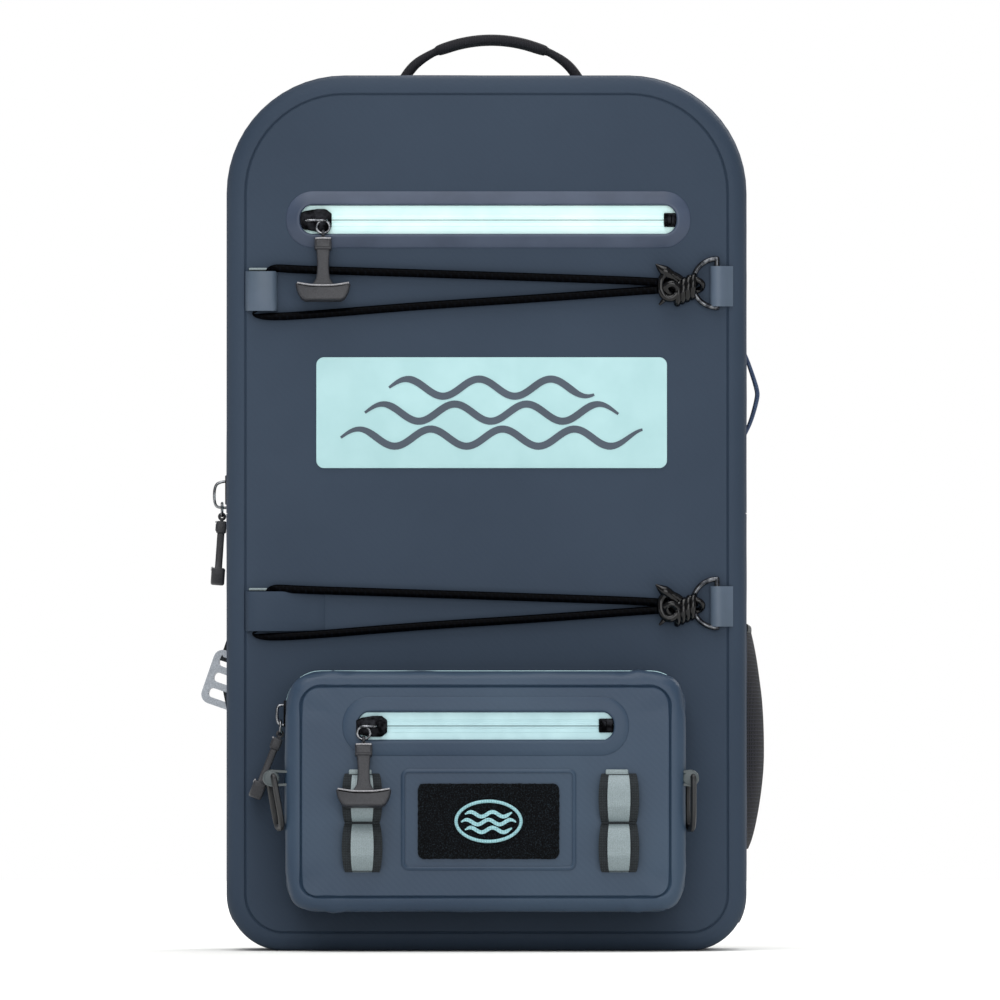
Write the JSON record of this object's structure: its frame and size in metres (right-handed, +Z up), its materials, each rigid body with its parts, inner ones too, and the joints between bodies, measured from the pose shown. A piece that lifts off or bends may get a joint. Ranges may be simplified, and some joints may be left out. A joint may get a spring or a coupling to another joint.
{
  "type": "tackle backpack",
  "caption": "Welded waterproof backpack with fold-down zipped lid, detachable front pouch, shock-cord lashings, top handle and padded shoulder straps.",
  "frame": {"origin": "middle of the base of the main shell, where it rests", "axes": "+Z up along the bag, -Y out of the front, +X to the right seen from the front"},
  "size_m": [0.3651, 0.3059, 0.5856],
  "materials": {
    "shell_fabric": "matte welded coated fabric",
    "zip_tape": "woven coated tape",
    "welded_trim": "satin moulded film",
    "badge": "matte moulded patch",
    "webbing": "woven webbing",
    "side_webbing": "woven webbing",
    "shock_cord": "braided cover",
    "ring_wire": "black nickel",
    "zip_metal": "black lacquer",
    "pull_rubber": "matte moulded",
    "black_plastic": "moulded",
    "grey_plastic": "moulded",
    "stretch_mesh": "stretch mesh",
    "loop_tape": "brushed loop",
    "air_mesh": "spacer mesh",
    "frame_board": "sheet",
    "lining": "light coated lining"
  },
  "bodies": {
    "root": {"base_panel": "shell_fabric", "gusset_lower": "shell_fabric", "front_panel_lower": "shell_fabric", "back_panel": "shell_fabric", "gusset_rear": "shell_fabric", "main_tape_rear": "zip_tape", "bungee_lower": "shock_cord", "lashing_tabs_lower": "side_webbing", "hook_panel": "loop_tape", "handle_risers": "webbing", "side_grab_handle": "side_webbing", "mesh_side_pocket": "stretch_mesh", "back_pads": "air_mesh", "yoke_patch": "welded_trim", "frame_sheet": "frame_board", "inner_pocket": "stretch_mesh", "lower_webbing_left": "webbing", "lower_webbing_right": "webbing"},
    "lid": {"gusset_lid": "shell_fabric", "main_tape_lid": "zip_tape", "front_panel_upper": "shell_fabric", "pocket_bezel": "welded_trim", "pocket_tapes": "zip_tape", "badge_patch": "badge", "lid_pocket_liner": "lining", "bungee_upper": "shock_cord", "lashing_tabs_upper": "side_webbing"},
    "main_slider": {"main_slider": "zip_metal"},
    "main_ring": {"main_ring": "ring_wire"},
    "main_pull": {"main_pull": "pull_rubber"},
    "pocket_slider": {"pocket_slider": "zip_metal"},
    "pocket_ring": {"pocket_ring": "ring_wire"},
    "pocket_pull": {"pocket_pull": "pull_rubber"},
    "d_ring_upper": {"d_ring_upper": "ring_wire"},
    "d_ring_lower": {"d_ring_lower": "ring_wire"},
    "pouch_rear": {"pouch_back_shell": "shell_fabric", "pouch_tape_rear": "zip_tape"},
    "pouch_front": {"pouch_gusset": "shell_fabric", "pouch_tape_front": "zip_tape", "pouch_front_panel": "shell_fabric", "pouch_pocket_bezel": "welded_trim", "pouch_pocket_tapes": "zip_tape", "loop_patch": "loop_tape", "daisy_webbing": "webbing", "side_ring_tabs": "webbing"},
    "pouch_pocket_slider": {"pouch_pocket_slider": "zip_metal"},
    "pouch_pocket_ring": {"pouch_pocket_ring": "ring_wire"},
    "pouch_pocket_pull": {"pouch_pocket_pull": "pull_rubber"},
    "pouch_main_slider": {"pouch_main_slider": "zip_metal"},
    "pouch_main_ring": {"pouch_main_ring": "ring_wire"},
    "pouch_main_pull": {"pouch_main_pull": "pull_rubber"},
    "side_ring_left": {"side_ring_left": "black_plastic"},
    "side_ring_right": {"side_ring_right": "black_plastic"},
    "top_handle": {"top_handle": "webbing"},
    "strap_left": {"shoulder_strap_left": "air_mesh", "ladder_lock_left": "grey_plastic"},
    "strap_right": {"shoulder_strap_right": "air_mesh", "ladder_lock_right": "grey_plastic"},
    "sternum_left": {"sternum_strap_left": "webbing"},
    "sternum_right": {"sternum_strap_right": "webbing"}
  },
  "joints": [
    {"name": "lid_hinge", "type": "hinge", "parent": "root", "child": "lid", "pos_m": [0, -0.08, 0.28], "axis": [1, 0, 0], "range_deg": [0, 100]},
    {"name": "main_slide", "type": "slide", "parent": "root", "child": "main_slider", "axis": [0, 0, 1], "range_m": [0, 0.17]},
    {"name": "main_ring_swing", "type": "hinge", "parent": "main_slider", "child": "main_ring", "pos_m": [-0.16975, -0.01, 0.2865], "axis": [0, 1, 0], "range_deg": [0, 80]},
    {"name": "main_pull_swing", "type": "hinge", "parent": "main_ring", "child": "main_pull", "pos_m": [-0.16975, -0.01, 0.2783], "axis": [0, 1, 0], "range_deg": [0, 75]},
    {"name": "pocket_slide", "type": "slide", "parent": "lid", "child": "pocket_slider", "axis": [1, 0, 0], "range_m": [0, 0.19]},
    {"name": "pocket_ring_swing", "type": "hinge", "parent": "pocket_slider", "child": "pocket_ring", "pos_m": [-0.1046, -0.08375, 0.4676], "axis": [-1, 0, 0], "range_deg": [0, 80]},
    {"name": "pocket_pull_swing", "type": "hinge", "parent": "pocket_ring", "child": "pocket_pull", "pos_m": [-0.1046, -0.08375, 0.4594], "axis": [-1, 0, 0], "range_deg": [0, 75]},
    {"name": "d_ring_upper_swing", "type": "hinge", "parent": "lid", "child": "d_ring_upper", "pos_m": [0.1475, -0.0835, 0.4273], "axis": [0, 0, 1], "range_deg": [0, 25], "deforming": ["bungee_upper"]},
    {"name": "d_ring_lower_swing", "type": "hinge", "parent": "root", "child": "d_ring_lower", "pos_m": [0.1475, -0.0835, 0.2224], "axis": [0, 0, 1], "range_deg": [0, 25], "deforming": ["bungee_lower"]},
    {"name": "pouch_pull_off", "type": "slide", "parent": "root", "child": "pouch_rear", "axis": [0, -1, 0], "range_m": [0, 0.1]},
    {"name": "pouch_front_fold", "type": "hinge", "parent": "pouch_rear", "child": "pouch_front", "pos_m": [-0.00065, -0.0985, 0.0256], "axis": [1, 0, 0], "range_deg": [0, 35]},
    {"name": "pouch_pocket_slide", "type": "slide", "parent": "pouch_front", "child": "pouch_pocket_slider", "axis": [1, 0, 0], "range_m": [0, 0.131]},
    {"name": "pouch_pocket_ring_swing", "type": "hinge", "parent": "pouch_pocket_slider", "child": "pouch_pocket_ring", "pos_m": [-0.0784, -0.14575, 0.1441], "axis": [-1, 0, 0], "range_deg": [0, 80]},
    {"name": "pouch_pocket_pull_swing", "type": "hinge", "parent": "pouch_pocket_ring", "child": "pouch_pocket_pull", "pos_m": [-0.0784, -0.14575, 0.1359], "axis": [-1, 0, 0], "range_deg": [0, 75]},
    {"name": "pouch_main_slide", "type": "slide", "parent": "pouch_rear", "child": "pouch_main_slider", "axis": [0, 0, -1], "range_m": [0, 0.075]},
    {"name": "pouch_main_ring_swing", "type": "hinge", "parent": "pouch_main_slider", "child": "pouch_main_ring", "pos_m": [-0.13175, -0.0985, 0.1475], "axis": [0, 1, 0], "range_deg": [0, 80]},
    {"name": "pouch_main_pull_swing", "type": "hinge", "parent": "pouch_main_ring", "child": "pouch_main_pull", "pos_m": [-0.13175, -0.0985, 0.1393], "axis": [0, 1, 0], "range_deg": [0, 75]},
    {"name": "side_ring_left_swing", "type": "hinge", "parent": "pouch_front", "child": "side_ring_left", "pos_m": [-0.1376, -0.1305, 0.111], "axis": [0, 1, 0], "range_deg": [0, 110]},
    {"name": "side_ring_right_swing", "type": "hinge", "parent": "pouch_front", "child": "side_ring_right", "pos_m": [0.1303, -0.1305, 0.111], "axis": [0, -1, 0], "range_deg": [0, 110]},
    {"name": "top_handle_swing", "type": "hinge", "parent": "root", "child": "top_handle", "pos_m": [0.003, 0.027, 0.566], "axis": [1, 0, 0], "range_deg": [-60, 60]},
    {"name": "strap_left_lift", "type": "hinge", "parent": "root", "child": "strap_left", "pos_m": [-0.048, 0.0864, 0.523], "axis": [1, 0, 0], "range_deg": [0, 25], "deforming": ["lower_webbing_left"]},
    {"name": "strap_right_lift", "type": "hinge", "parent": "root", "child": "strap_right", "pos_m": [0.048, 0.0864, 0.523], "axis": [1, 0, 0], "range_deg": [0, 25], "deforming": ["lower_webbing_right"]},
    {"name": "sternum_left_swing", "type": "hinge", "parent": "strap_left", "child": "sternum_left", "pos_m": [-0.055, 0.14, 0.398], "axis": [0, -1, 0], "range_deg": [0, 85]},
    {"name": "sternum_right_swing", "type": "hinge", "parent": "strap_right", "child": "sternum_right", "pos_m": [0.055, 0.14, 0.398], "axis": [0, 1, 0], "range_deg": [0, 85]}
  ]
}
